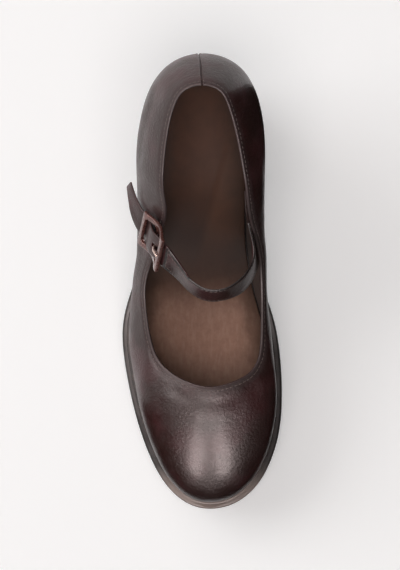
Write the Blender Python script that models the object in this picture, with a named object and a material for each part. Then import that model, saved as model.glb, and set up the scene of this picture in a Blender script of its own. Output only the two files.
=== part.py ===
"""Heeled Mary Jane shoe for the right foot, as separate pieces in one frame.

Metres, +Z up. The toe points to -Y, the big toe's side is +X, and the origin lies on the floor
under the middle of the shoe's box. Every height is worked out from the stack of sole layers, so
that each layer, the upper, the insole and the heel seat on each other with the same small gap.
"""

from collections import namedtuple
from math import cos, pi, radians, sin

import bmesh
import bpy
from mathutils import Matrix, Vector

# Driving dimensions of the last and the sole
LENGTH = 0.2405                # back of the heel's swell to the tip of the sole
BALL_WIDTH = 0.0875            # sole across the ball
HEEL_RISE = 0.053              # how much higher the foot lies at the back than at the ball
TOE_SPRING = 0.008             # lift of the sole's tip above the floor
QUARTER_HEIGHT = 0.0525        # top edge above the foot bed at the back
UPPER_WALL = 0.0020            # leather and lining together
SOLE_MARGIN = 0.0042           # how far the sole stands out round the forefoot

# Layers from the floor up
OUTSOLE_THICKNESS = 0.0036
MIDSOLE_THICKNESS = 0.0062     # platform under the forefoot
WAIST_THICKNESS = 0.0030       # the same layer under the waist and the heel seat
WELT_THICKNESS = 0.0020
WELT_MARGIN = 0.0016           # how far the welt stands out from the upper
INSOLE_PROUD = 0.0012          # the sock's face above the upper's foot line
TOP_PIECE_THICKNESS = 0.0060   # rubber under the heel block
GAP = 0.0003                   # air between pieces that touch
OUTSOLE_INSET = 0.0004         # how far the outsole's side lies in from the midsole's
OUTSOLE_CHAMFER = 0.0008       # its lower edge
MIDSOLE_CHAMFER = 0.0008       # its upper edge
MIDSOLE_LOWER_CHAMFER = 0.0003
INSOLE_CHAMFER = 0.0005

# Heel block
HEEL_LENGTH = 0.056            # from the back of the seat to the breast
HEEL_BACK_RAKE = 0.007         # how far the back comes forward on its way down
HEEL_BREAST_RAKE = 0.004       # how far the breast goes back on its way down
HEEL_SIDE_TAPER = 0.0022       # how far each side comes in on its way down
HEEL_INSET = 0.0006            # how far the block's seat lies in from the midsole's side
HEEL_HOLLOW = 0.05             # how much of its tapering the block does early, as a share

# Strap and buckle
STRAP_WIDTH = 0.0138
STRAP_THICKNESS = 0.0016
STRAP_TAIL = 0.0225            # free end beyond the buckle, to its point
STRAP_TAIL_POINT = 0.40        # where its point is, share of the width from the heel edge
STRAP_TAIL_TOE_CUT = 0.0065    # how much shorter its toe edge is than its point
STRAP_TAIL_HEEL_CUT = 0.0030   # how much shorter its heel edge is
STRAP_TAIL_LIFT = 0.0040       # how far the free end stands off
STRAP_TAIL_RISE = 0.60         # power of its rise: below 1 it stands off early
STRAP_LEVEL = 0.60             # how far past the end bar's middle it stays level, share of BUCKLE_BAR
STRAP_TAIL_SWEEP = 0.0085      # how far the free end swings up towards its heel edge
STRAP_FOOT_AIR = 0.0010        # between the strap's foot and the lining behind it
SEAT_AIR = 0.0010              # under the buckle's tab, above the highest place found below it
BUCKLE_LENGTH = 0.0245         # along the strap
BUCKLE_BAR = 0.0029            # width of the frame's bars
BUCKLE_THICKNESS = 0.0020
BUCKLE_DOME = 0.0030           # how far the end bars stand above the centre bar
BUCKLE_CLEARANCE = 0.0009      # between the strap's edge and the frame
CENTRE_BAR = 0.0016
TAB_THICKNESS = 0.0008
TAB_WIDTH = 0.0105
TAB_LENGTH = 0.0100            # how far the tab reaches back over the quarter
PRONG_WIDTH = 0.0016
PRONG_THICKNESS = 0.0009
PRONG_SIDE_AIR = 0.0005        # beside the prong, in the strap's hole and the tab's slot

STATIONS_PER_ROW = 3           # sections of the mesh for each row of the table
UPPER_ROWS = 12                # faces from the foot line to the top edge
CAP_COLUMNS = 4                # faces across a sole layer
HEEL_ROWS = 10                 # faces from the back of the heel to its breast
TAB_TURNS = 16                 # faces round the tab's loop
RIM_THINNING = 0.55            # the wall at its rolled edge, as a share of the wall

# The upper's wall, one row for each section from the back of the heel to the tip of the toe. Each
# section is a curve from a foot point on the sole to a top point on the edge of the leather.
# foot_at and top_at are shares of LENGTH from the back; the lateral and medial columns are shares
# of half of BALL_WIDTH; rise is the top point's height above the foot bed, a share of
# QUARTER_HEIGHT. The curve leaves the foot point outwards by swell (a share of half of
# BALL_WIDTH) and upwards by lift (a share of QUARTER_HEIGHT), and it reaches the top point from
# hood outwards (a share of half of BALL_WIDTH) and drop below (a share of QUARTER_HEIGHT).
Section = namedtuple("Section", "foot_at foot_lateral foot_medial top_at top_lateral top_medial rise "
                                "swell_lateral swell_medial lift hood drop")
SECTIONS = [
    #        foot point             top point              rise   swell         lift  hood  drop
    Section(0.031, -0.033, 0.033, 0.079, -0.078, 0.078, 1.000, 0.375, 0.375, 0.23, 0.30, 0.34),
    Section(0.045, 0.270, 0.350, 0.092, 0.150, 0.300, 0.995, 0.320, 0.350, 0.23, 0.30, 0.34),
    Section(0.098, 0.500, 0.555, 0.130, 0.275, 0.410, 0.985, 0.280, 0.320, 0.23, 0.28, 0.34),
    Section(0.180, 0.595, 0.625, 0.196, 0.360, 0.505, 0.960, 0.290, 0.300, 0.25, 0.28, 0.34),
    Section(0.280, 0.595, 0.605, 0.285, 0.410, 0.590, 0.955, 0.310, 0.270, 0.27, 0.26, 0.34),
    Section(0.370, 0.615, 0.590, 0.350, 0.385, 0.625, 0.835, 0.340, 0.250, 0.26, 0.22, 0.32),
    Section(0.440, 0.690, 0.620, 0.430, 0.565, 0.735, 0.525, 0.230, 0.170, 0.18, 0.14, 0.24),
    Section(0.515, 0.800, 0.695, 0.497, 0.690, 0.765, 0.470, 0.140, 0.090, 0.16, 0.09, 0.20),
    Section(0.605, 0.900, 0.830, 0.572, 0.670, 0.765, 0.500, 0.050, 0.030, 0.20, 0.11, 0.18),
    Section(0.715, 0.825, 0.890, 0.630, 0.600, 0.750, 0.530, 0.030, 0.010, 0.27, 0.20, 0.16),
    Section(0.825, 0.670, 0.860, 0.668, 0.495, 0.695, 0.580, 0.040, 0.030, 0.34, 0.40, 0.14),
    Section(0.915, 0.450, 0.685, 0.695, 0.325, 0.580, 0.660, 0.060, 0.060, 0.39, 0.58, 0.11),
    Section(0.966, 0.190, 0.420, 0.713, 0.115, 0.370, 0.735, 0.085, 0.085, 0.43, 0.70, 0.08),
    Section(0.982, -0.100, 0.100, 0.722, -0.123, 0.123, 0.770, 0.090, 0.090, 0.44, 0.76, 0.06),
]

# Rise of the foot bed along the shoe, from the back: share of LENGTH, share of HEEL_RISE.
BedPoint = namedtuple("BedPoint", "at rise")
BED = [BedPoint(0.000, 1.000), BedPoint(0.110, 0.930), BedPoint(0.190, 0.845), BedPoint(0.255, 0.745),
       BedPoint(0.340, 0.555), BedPoint(0.420, 0.345), BedPoint(0.500, 0.160), BedPoint(0.575, 0.045),
       BedPoint(0.640, 0.000), BedPoint(0.780, 0.000), BedPoint(1.000, 0.000)]
SPRING_FROM = 0.775            # where the sole leaves the floor towards the toe, share of LENGTH
WAIST_FROM = 0.40              # where the sole is as thin and narrow as it gets
WAIST_TO = 0.57                # where it has its full thickness and margin
WAIST_MARGIN_SHARE = 0.30      # the sole's margin at the waist and heel, share of SOLE_MARGIN

# The strap from the medial quarter to the buckle. at and side place its middle, as shares of LENGTH
# and of half of BALL_WIDTH; rise is a share of QUARTER_HEIGHT above the ball's foot bed; turn and
# tip give the way its face looks, in degrees from the toe's direction to the lateral side and
# upwards; wide is a share of STRAP_WIDTH.
StrapRow = namedtuple("StrapRow", "at side rise turn tip wide")
STRAP = [
    StrapRow(0.462, 0.640, 1.090, -64.0, 18.0, 1.50),
    StrapRow(0.496, 0.530, 1.270, -42.0, 24.0, 1.20),
    StrapRow(0.518, 0.330, 1.390, -16.0, 24.0, 1.02),
    StrapRow(0.521, 0.120, 1.420, 8.0, 24.0, 1.00),
    StrapRow(0.503, -0.070, 1.390, 32.0, 25.0, 1.00),
    StrapRow(0.475, -0.205, 1.310, 56.0, 26.0, 1.00),
]
# The strap's foot inside the medial quarter: place on the upper, as rows of SECTIONS round from the
# back and share of the way from the foot line to the top edge, for both ends of each row.
FootRow = namedtuple("FootRow", "heel_row heel_up toe_row toe_up")
STRAP_FOOT = [FootRow(4.30, 0.960, 4.70, 0.800), FootRow(4.70, 0.965, 5.40, 0.760),
              FootRow(5.00, 0.970, 5.95, 0.800), FootRow(5.30, 0.975, 6.40, 0.900)]
BUCKLE_ROW = 5.47              # where the buckle's centre bar lies on the lateral top edge
BUCKLE_FALL = 44.0             # degrees at which the strap runs down through the buckle
BUCKLE_TURN = 12.0             # degrees by which it is turned level from the quarter's face
BUCKLE_FORWARD = 0.0050        # how far the centre bar lies in front of the edge

HALF = BALL_WIDTH / 2


def spline(values, at):
    """Value of a smooth curve through equally spaced values, for at from 0 to the last index."""
    low = min(max(int(at), 0), len(values) - 2)
    near = at - low
    before = values[max(low - 1, 0)]
    start = values[low]
    end = values[low + 1]
    after = values[min(low + 2, len(values) - 1)]
    slope_start = (end - before) * 0.5
    slope_end = (after - start) * 0.5
    square = near * near
    cube = square * near
    return (start * (2 * cube - 3 * square + 1) + slope_start * (cube - 2 * square + near)
            + end * (3 * square - 2 * cube) + slope_end * (cube - square))


def smooth_step(value, low, high):
    share = min(max((value - low) / (high - low), 0.0), 1.0)
    return share * share * (3 - 2 * share)


def share_along(y):
    return 0.5 - y / LENGTH


def y_at(share):
    return LENGTH * (0.5 - share)


def bed_rise(share):
    """Height of the foot bed above its lowest place, without the toe spring."""
    share = min(max(share, BED[0].at), BED[-1].at)
    index = max(i for i in range(len(BED) - 1) if BED[i].at <= share)
    start, end = BED[index], BED[index + 1]
    before, after = BED[max(index - 1, 0)], BED[min(index + 2, len(BED) - 1)]
    slope_start = (end.rise - before.rise) / (end.at - before.at)
    slope_end = (after.rise - start.rise) / (after.at - start.at)
    if start.rise == end.rise:
        slope_start = slope_end = 0.0
    if end.rise == 0.0:
        slope_end = 0.0
    span = end.at - start.at
    near = (share - start.at) / span
    square = near * near
    cube = square * near
    return HEEL_RISE * (start.rise * (2 * cube - 3 * square + 1) + end.rise * (3 * square - 2 * cube)
                        + slope_start * span * (cube - 2 * square + near)
                        + slope_end * span * (cube - square))


def spring(share):
    return TOE_SPRING * max((share - SPRING_FROM) / (1 - SPRING_FROM), 0.0) ** 2


def midsole_thickness(share):
    full = smooth_step(share, WAIST_FROM, WAIST_TO)
    return WAIST_THICKNESS + (MIDSOLE_THICKNESS - WAIST_THICKNESS) * full


BALL_STACK = OUTSOLE_THICKNESS + MIDSOLE_THICKNESS + WELT_THICKNESS + 2 * GAP


def welt_top(y):
    share = share_along(y)
    return BALL_STACK + bed_rise(share) + spring(share)


def foot_bed(y):
    return welt_top(y) + GAP


def welt_bottom(y):
    return welt_top(y) - WELT_THICKNESS


def midsole_top(y):
    return welt_bottom(y) - GAP


def midsole_bottom(y):
    return midsole_top(y) - midsole_thickness(share_along(y))


def outsole_top(y):
    return midsole_bottom(y) - GAP


def outsole_bottom(y):
    return outsole_top(y) - OUTSOLE_THICKNESS


def sole_margin(share):
    full = smooth_step(share, WAIST_FROM, WAIST_TO)
    return SOLE_MARGIN * (WAIST_MARGIN_SHARE + (1 - WAIST_MARGIN_SHARE) * full)


def ring_rows():
    """The table's rows all the way round: back, lateral side, toe, medial side."""
    last = len(SECTIONS) - 1
    rows = []
    for index in list(range(last + 1)) + list(range(last - 1, 0, -1)):
        medial = len(rows) > last
        row = SECTIONS[index]
        foot_x = row.foot_medial if medial else -row.foot_lateral
        top_x = row.top_medial if medial else -row.top_lateral
        swell = row.swell_medial if medial else row.swell_lateral
        rows.append((foot_x * HALF, y_at(row.foot_at), top_x * HALF, y_at(row.top_at),
                     row.rise * QUARTER_HEIGHT, swell * HALF, row.lift * QUARTER_HEIGHT,
                     row.hood * HALF, row.drop * QUARTER_HEIGHT))
    return rows


RING = ring_rows()
RING_COUNT = len(RING)
STATIONS = RING_COUNT * STATIONS_PER_ROW


def ring_value(column, at):
    """Smooth value of one column of the closed ring of rows."""
    low = int(at // 1)
    near = [RING[(low + step) % RING_COUNT][column] for step in (-1, 0, 1, 2)]
    return spline(near, 1 + at - low)


def foot_point(at):
    return Vector((ring_value(0, at), ring_value(1, at), 0.0))


def top_point(at):
    return Vector((ring_value(2, at), ring_value(3, at), 0.0))


def outward(curve, at):
    """Level direction away from the inside of a closed curve that runs lateral side first."""
    step = 0.02
    along = curve(at + step) - curve(at - step)
    return Vector((along.y, -along.x, 0.0)).normalized()


def upper_point(at, up):
    """Outer face of the upper: at counts rows round the ring, up runs from foot to top edge."""
    foot = foot_point(at)
    top = top_point(at)
    foot.z = foot_bed(foot.y)
    top.z = foot_bed(top.y) + ring_value(4, at)
    low = foot + outward(foot_point, at) * ring_value(5, at) + Vector((0, 0, ring_value(6, at)))
    high = top + outward(top_point, at) * ring_value(7, at) - Vector((0, 0, ring_value(8, at)))
    rest = 1 - up
    return (foot * rest ** 3 + low * 3 * rest * rest * up + high * 3 * rest * up * up + top * up ** 3)


def upper_normal(at, up):
    step = 0.02
    low = max(up - step, 0.0)
    high = min(up + step, 1.0)
    round_way = upper_point(at + step, up) - upper_point(at - step, up)
    up_way = upper_point(at, high) - upper_point(at, low)
    return up_way.cross(round_way).normalized() * -1.0


def offset_outline(margin_at):
    """The upper's foot outline moved outwards, as one point for each station."""
    points = []
    for index in range(STATIONS):
        at = index / STATIONS_PER_ROW
        point = foot_point(at)
        points.append(point + outward(foot_point, at) * margin_at(share_along(point.y)))
    return points


def new_body(name, material):
    mesh = bpy.data.meshes.new(name)
    body = bpy.data.objects.new(name, mesh)
    bpy.context.scene.collection.objects.link(body)
    mesh.materials.append(material)
    return body


def finish_body(name, shape, material, sharp_angle=35.0):
    """Weld the patches into one closed body with its faces outwards, and shade it smooth."""
    bmesh.ops.remove_doubles(shape, verts=shape.verts, dist=1e-6)
    bmesh.ops.dissolve_degenerate(shape, edges=shape.edges, dist=1e-7)
    bmesh.ops.recalc_face_normals(shape, faces=shape.faces)
    body = new_body(name, material)
    shape.to_mesh(body.data)
    shape.free()
    body.data.shade_smooth()
    body.data.set_sharp_from_angle(angle=radians(sharp_angle))
    return body


def add_patch(shape, grid):
    """Faces of a grid of points; repeated points make triangles when they are welded."""
    verts = [[shape.verts.new(point) for point in row] for row in grid]
    for row, following in zip(verts, verts[1:]):
        for col in range(len(row) - 1):
            shape.faces.new((row[col], row[col + 1], following[col + 1], following[col]))


def add_shell(shape, outer, inner, wrap=False, holes=()):
    """A wall between two grids of points, with its edges closed, also round each hole."""
    rows = len(outer) if wrap else len(outer) - 1
    cols = len(outer[0]) - 1
    count = len(outer)

    def present(row, col):
        if wrap:
            row = row % rows
        inside = 0 <= row < rows and 0 <= col < cols
        return inside and (row, col) not in holes

    outer_verts = [[shape.verts.new(point) for point in row] for row in outer]
    inner_verts = [[shape.verts.new(point) for point in row] for row in inner]
    for row in range(rows):
        after = (row + 1) % count
        for col in range(cols):
            if not present(row, col):
                continue
            shape.faces.new((outer_verts[row][col], outer_verts[row][col + 1],
                             outer_verts[after][col + 1], outer_verts[after][col]))
            shape.faces.new((inner_verts[row][col], inner_verts[after][col],
                             inner_verts[after][col + 1], inner_verts[row][col + 1]))
            edges = [((row, col), (row, col + 1), present(row - 1, col)),
                     ((after, col), (after, col + 1), present(row + 1, col)),
                     ((row, col), (after, col), present(row, col - 1)),
                     ((row, col + 1), (after, col + 1), present(row, col + 1))]
            for start, end, closed in edges:
                if not closed:
                    shape.faces.new((outer_verts[start[0]][start[1]], outer_verts[end[0]][end[1]],
                                     inner_verts[end[0]][end[1]], inner_verts[start[0]][start[1]]))


def across(lateral, medial, height):
    """Points from the lateral to the medial edge, each at the height of its own place."""
    points = []
    for col in range(CAP_COLUMNS + 1):
        point = lateral.lerp(medial, col / CAP_COLUMNS)
        points.append(Vector((point.x, point.y, height(point.y))))
    return points


def layer(name, material, outline, bottom, top, edge):
    """A sole layer with a closed outline, between two height profiles.

    edge lists the side from bottom to top: how far in, and share of the thickness.
    """
    half = STATIONS // 2
    shape = bmesh.new()
    rings = []
    for inset, share in edge:
        ring = []
        for index, point in enumerate(outline):
            before = outline[index - 1]
            after = outline[(index + 1) % STATIONS]
            along = (after - before).normalized()
            moved = point - Vector((along.y, -along.x, 0.0)) * inset
            low = bottom(moved.y)
            ring.append(Vector((moved.x, moved.y, low + (top(moved.y) - low) * share)))
        rings.append(ring)
    add_patch(shape, [ring + ring[:1] for ring in rings])
    for ring, height in ((rings[0], bottom), (rings[-1], top)):
        rows = [across(ring[index], ring[-index % STATIONS], height) for index in range(half + 1)]
        add_patch(shape, rows)
    finish_body(name, shape, material)


def colour(value):
    """Linear colour from sRGB hex."""
    parts = [int(value[i:i + 2], 16) / 255 for i in (0, 2, 4)]
    linear = [part / 12.92 if part <= 0.04045 else ((part + 0.055) / 1.055) ** 2.4 for part in parts]
    return (*linear, 1.0)


def make_material(name, hex_colour, roughness, metallic=0.0):
    material = bpy.data.materials.new(name)
    material.use_nodes = True
    shader = material.node_tree.nodes["Principled BSDF"]
    shader.inputs["Base Color"].default_value = colour(hex_colour)
    shader.inputs["Roughness"].default_value = roughness
    shader.inputs["Metallic"].default_value = metallic
    material.diffuse_color = colour(hex_colour)
    return material


def wall_grids():
    """Outer and inner face of the upper, one row of points for each station."""
    outer, inner = [], []
    for index in range(STATIONS):
        at = index / STATIONS_PER_ROW
        outer_row, inner_row = [], []
        for step in range(UPPER_ROWS + 1):
            up = step / UPPER_ROWS
            point = upper_point(at, up)
            depth = upper_normal(at, up) * UPPER_WALL
            if step == 0:
                depth = outward(foot_point, at) * UPPER_WALL
            thin = (1 - RIM_THINNING) / 2 if step == UPPER_ROWS else 0.0
            outer_row.append(point - depth * thin)
            inner_row.append(point - depth * (1 - thin))
        outer.append(outer_row)
        inner.append(inner_row)
    return outer, inner


def make_upper(material):
    outer, inner = wall_grids()
    shape = bmesh.new()
    add_shell(shape, outer, inner, wrap=True)
    finish_body("upper", shape, material, 60.0)


def make_insole(material):
    inset = UPPER_WALL + GAP
    outline = offset_outline(lambda share: -inset)
    layer("insole", material, outline, lambda y: midsole_top(y) + GAP,
          lambda y: foot_bed(y) + INSOLE_PROUD,
          [(0.0, 0.0), (0.0, 0.8), (INSOLE_CHAMFER, 1.0)])


def make_welt(material):
    """A flat strip under the upper's wall, from its inner face to outside the upper."""
    outer_line = offset_outline(lambda share: WELT_MARGIN * min(1.0, sole_margin(share) / SOLE_MARGIN))
    inner_line = offset_outline(lambda share: -UPPER_WALL)
    outer = [[Vector((p.x, p.y, height(p.y))) for height in (welt_bottom, welt_top)] for p in outer_line]
    inner = [[Vector((p.x, p.y, height(p.y))) for height in (welt_bottom, welt_top)] for p in inner_line]
    shape = bmesh.new()
    add_shell(shape, outer, inner, wrap=True)
    finish_body("welt", shape, material)


def make_midsole(material):
    layer("midsole", material, offset_outline(sole_margin), midsole_bottom, midsole_top,
          [(MIDSOLE_LOWER_CHAMFER, 0.0), (0.0, 0.12), (0.0, 0.80), (MIDSOLE_CHAMFER, 1.0)])


def make_outsole(material):
    outline = offset_outline(lambda share: sole_margin(share) - OUTSOLE_INSET)
    layer("outsole", material, outline, outsole_bottom, outsole_top,
          [(OUTSOLE_CHAMFER, 0.0), (0.0, 0.30), (0.0, 1.0)])


def heel_rows(down):
    """Pairs of side points of the heel, back to breast; down runs from the seat to the floor."""
    outline = offset_outline(lambda share: sole_margin(share) - HEEL_INSET)
    back = outline[0].y - HEEL_BACK_RAKE * down
    breast = outline[0].y - HEEL_LENGTH + HEEL_BREAST_RAKE * down
    seat_back = outline[0].y
    rows = []
    for index in range(HEEL_ROWS + 1):
        share = sin(index / HEEL_ROWS * pi / 2)
        depth = 1 - cos(index / HEEL_ROWS * pi / 2)
        y_seat = seat_back - HEEL_LENGTH * depth
        lateral, medial = side_points(outline, y_seat)
        squeeze = (back - breast) / HEEL_LENGTH
        y = back - (seat_back - y_seat) * squeeze
        taper = HEEL_SIDE_TAPER * down * share
        rows.append((Vector((lateral.x + taper, y, 0.0)), Vector((medial.x - taper, y, 0.0))))
    return rows


def side_points(outline, y):
    """Where the outline's lateral and medial sides pass a given y near the heel."""
    half = STATIONS // 2
    found = []
    for side in (outline[:half], [outline[-i % STATIONS] for i in range(half)]):
        point = side[0]
        for start, end in zip(side, side[1:]):
            if start.y >= y >= end.y:
                near = (start.y - y) / max(start.y - end.y, 1e-9)
                point = start.lerp(end, near)
                break
        found.append(point)
    return found


def heel_solid(name, material, levels):
    """A block through levels of (share down, height function), from the bottom up."""
    shape = bmesh.new()
    grids = []
    for down, height in levels:
        grids.append([across(lateral, medial, height) for lateral, medial in heel_rows(down)])
    sides = []
    for grid in grids:
        ring = [row[0] for row in grid] + grid[-1][1:-1] + [row[-1] for row in reversed(grid)]
        sides.append(ring + ring[:1])
    add_patch(shape, sides)
    add_patch(shape, grids[0])
    add_patch(shape, grids[-1])
    finish_body(name, shape, material)


def make_heel(block_material, rubber):
    block_bottom = TOP_PIECE_THICKNESS + GAP

    def level(share):
        return lambda y: block_bottom + (outsole_bottom(y) - GAP - block_bottom) * share

    heel_solid("heel_block", block_material,
               [(1.0, level(0.0)), (0.5 + HEEL_HOLLOW, level(0.5)), (0.0, level(1.0))])
    heel_solid("heel_top_piece", rubber,
               [(1.0, lambda y: 0.0), (1.0, lambda y: TOP_PIECE_THICKNESS)])


def direction(turn, tip):
    """Unit vector from the toe's direction, turned to the lateral side and tipped up."""
    turn, tip = radians(turn), radians(tip)
    return Vector((-sin(turn) * cos(tip), -cos(turn) * cos(tip), sin(tip)))


BAR_ROUND = 0.54               # reach of the centre bar's rounded corner, share of CENTRE_BAR
TAB_INNER = CENTRE_BAR * BAR_ROUND + GAP
TAB_OUTER = TAB_INNER + TAB_THICKNESS


def buckle_axes():
    """Place and axes of the buckle: along the strap to its free end, to its toe edge, outwards.

    The tab lies flat on the highest place of the quarter that it covers.
    """
    edge = upper_point(BUCKLE_ROW, 1.0)
    face = upper_normal(BUCKLE_ROW, 0.90)
    face.rotate(Matrix.Rotation(radians(-BUCKLE_TURN), 3, "Z"))
    level = Vector((face.y, -face.x, 0.0)).normalized()
    down = face.cross(level)
    along = level * cos(radians(BUCKLE_FALL)) + down * sin(radians(BUCKLE_FALL))
    bar = face.cross(along)
    seat = 0.0
    rows_searched = [BUCKLE_ROW + step * 0.1 for step in range(-8, 9)]
    ups_searched = [1 - step * 0.05 for step in range(13)]
    for row in rows_searched:
        for up in ups_searched:
            offset = upper_point(row, up) - edge
            reach = offset.dot(along) + BUCKLE_FORWARD
            if reach < TAB_LENGTH + GAP and abs(offset.dot(bar)) < TAB_WIDTH / 2 + GAP:
                seat = max(seat, offset.dot(face))
    out = seat + SEAT_AIR + TAB_OUTER
    return edge + face * out - along * BUCKLE_FORWARD, along, bar, face


BUCKLE = buckle_axes()
END_BAR = BUCKLE_LENGTH / 2 - BUCKLE_BAR / 2
HOLE_FROM = -0.61              # where the prong's hole starts and ends, shares of END_BAR
HOLE_TO = -0.19


def buckle_point(reach, side, out):
    place, along, bar, face = BUCKLE
    return place + along * reach + bar * side + face * out


def strap_profile():
    """Middle line of the strap through the buckle: along it, and out from the centre bar."""
    over = TAB_OUTER + GAP + STRAP_THICKNESS / 2
    under = BUCKLE_DOME - BUCKLE_THICKNESS / 2 - 1.5 * GAP - STRAP_THICKNESS / 2
    line = []
    steps = 5
    for step in range(-steps, steps + 1):
        share = step / steps
        line.append((END_BAR * share, under + (over - under) * (0.5 + 0.5 * cos(pi * share))))
    line.insert(0, (-END_BAR - BUCKLE_BAR, under - BUCKLE_DOME * 0.25))
    line.append((END_BAR + BUCKLE_BAR * STRAP_LEVEL, under))
    for step in range(1, steps + 1):
        share = step / steps
        line.append((END_BAR + STRAP_TAIL * share, under + STRAP_TAIL_LIFT * share ** STRAP_TAIL_RISE))
    return line


SIDE_SHARES = (0.0, 0.07, 0.40, 0.60, 0.93, 1.0)


def strap_foot_row(at):
    """One row of the strap where it lies against the inner face of the medial quarter."""
    depth = UPPER_WALL + STRAP_FOOT_AIR + STRAP_THICKNESS / 2
    heel_row, heel_up, toe_row, toe_up = [spline([foot[col] for foot in STRAP_FOOT], at)
                                          for col in range(len(FootRow._fields))]
    row = []
    for share in SIDE_SHARES:
        ring_at = RING_COUNT - (heel_row + (toe_row - heel_row) * share)
        up = heel_up + (toe_up - heel_up) * share
        row.append(upper_point(ring_at, up) - upper_normal(ring_at, up) * depth)
    return row


def tail_cut(share):
    """How far the free end is cut back from its point, at a share of its width."""
    toe_side = max(share - STRAP_TAIL_POINT, 0.0) / (1.0 - STRAP_TAIL_POINT)
    heel_side = max(STRAP_TAIL_POINT - share, 0.0) / STRAP_TAIL_POINT
    return STRAP_TAIL_TOE_CUT * toe_side + STRAP_TAIL_HEEL_CUT * heel_side


def strap_buckle_rows():
    """Rows from just before the front bar to the free end, which is cut to a blunt point."""
    profile = strap_profile()
    rows = []
    for reach, out in profile:
        beyond = max((reach - END_BAR) / STRAP_TAIL, 0.0)
        sweep = STRAP_TAIL_SWEEP * beyond * beyond
        rows.append([buckle_point(reach - beyond * tail_cut(share), STRAP_WIDTH * (share - 0.5) - sweep,
                                  out) for share in SIDE_SHARES])
    return rows


def strap_rows():
    """Middle surface of the strap, one row across it at a time, its heel edge first."""
    steps = 4
    foot_end = len(STRAP_FOOT) - 1
    controls = [strap_foot_row(at) for at in range(foot_end + 1)]
    middles = [Vector((row.side * HALF, y_at(row.at), BALL_STACK + row.rise * QUARTER_HEIGHT))
               for row in STRAP]
    buckle_rows = strap_buckle_rows()
    following = buckle_rows[0][0].lerp(buckle_rows[0][-1], 0.5)
    for index, row in enumerate(STRAP):
        ahead = middles[index + 1] if index + 1 < len(STRAP) else following
        behind = middles[index - 1] if index else middles[0]
        run = (ahead - behind).normalized()
        side = run.cross(direction(row.turn, row.tip)).normalized()
        if side.z > 0:
            side = -side
        width = STRAP_WIDTH * row.wide
        controls.append([middles[index] + side * width * (share - 0.5) for share in SIDE_SHARES])
    free_end = len(controls) * steps
    controls += buckle_rows[:2]
    rows = []
    for index in range(free_end):
        at = index / steps
        if at <= foot_end:
            rows.append(strap_foot_row(at))
        else:
            rows.append([spline([row[col] for row in controls], at) for col in range(len(SIDE_SHARES))])
    return rows, rows + buckle_rows


def make_strap(material):
    free_rows, middle = strap_rows()
    count = len(middle) - 1
    outer, inner = [], []
    for index, row in enumerate(middle):
        ahead = middle[min(index + 1, count)]
        behind = middle[max(index - 1, 0)]
        outer_row, inner_row = [], []
        for col, point in enumerate(row):
            run = ahead[col] - behind[col]
            side = row[min(col + 1, len(row) - 1)] - row[max(col - 1, 0)]
            normal = side.cross(run).normalized()
            edge = col in (0, len(row) - 1) or index in (0, count)
            half = STRAP_THICKNESS / 2 * (0.5 if edge else 1.0)
            outer_row.append(point + normal * half)
            inner_row.append(point - normal * half)
        outer.append(outer_row)
        inner.append(inner_row)
    place, along = BUCKLE[:2]
    reaches = [(row[2].lerp(row[3], 0.5) - place).dot(along) / END_BAR for row in middle]
    holes = {(index, 2) for index in range(len(free_rows), count)
             if reaches[index] >= HOLE_FROM and reaches[index + 1] <= HOLE_TO}
    shape = bmesh.new()
    add_shell(shape, outer, inner, holes=holes)
    finish_body("strap", shape, material, 50.0)


def make_buckle(material):
    """A frame with two windows; its ends are domed away from the centre bar."""
    half_length = BUCKLE_LENGTH / 2
    half_width = STRAP_WIDTH / 2 + BUCKLE_CLEARANCE + BUCKLE_BAR
    along_cuts = [-half_length, -half_length + BUCKLE_BAR, -half_length * 0.4, -CENTRE_BAR / 2,
                  CENTRE_BAR / 2, half_length * 0.4, half_length - BUCKLE_BAR, half_length]
    across_cuts = [-half_width, -half_width + BUCKLE_BAR, half_width - BUCKLE_BAR, half_width]

    def face_at(out_share):
        grid = []
        for reach in along_cuts:
            dome = BUCKLE_DOME * min(abs(reach) / (half_length - BUCKLE_BAR), 1.0) ** 2
            centre = abs(reach) <= CENTRE_BAR
            grid.append([buckle_point(reach, side, dome + out_share *
                                      (CENTRE_BAR if centre and abs(side) < half_width
                                       else BUCKLE_THICKNESS)) for side in across_cuts])
        return grid

    shape = bmesh.new()
    windows = {(1, 1), (2, 1), (4, 1), (5, 1)}
    add_shell(shape, face_at(0.5), face_at(-0.5), holes=windows)
    frame = finish_body("buckle_frame", shape, material, 50.0)
    bevel = frame.modifiers.new("rounded edges", "BEVEL")
    bevel.width = 0.0005
    bevel.segments = 2
    bevel.limit_method = "ANGLE"
    bevel.angle_limit = radians(40)


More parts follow.
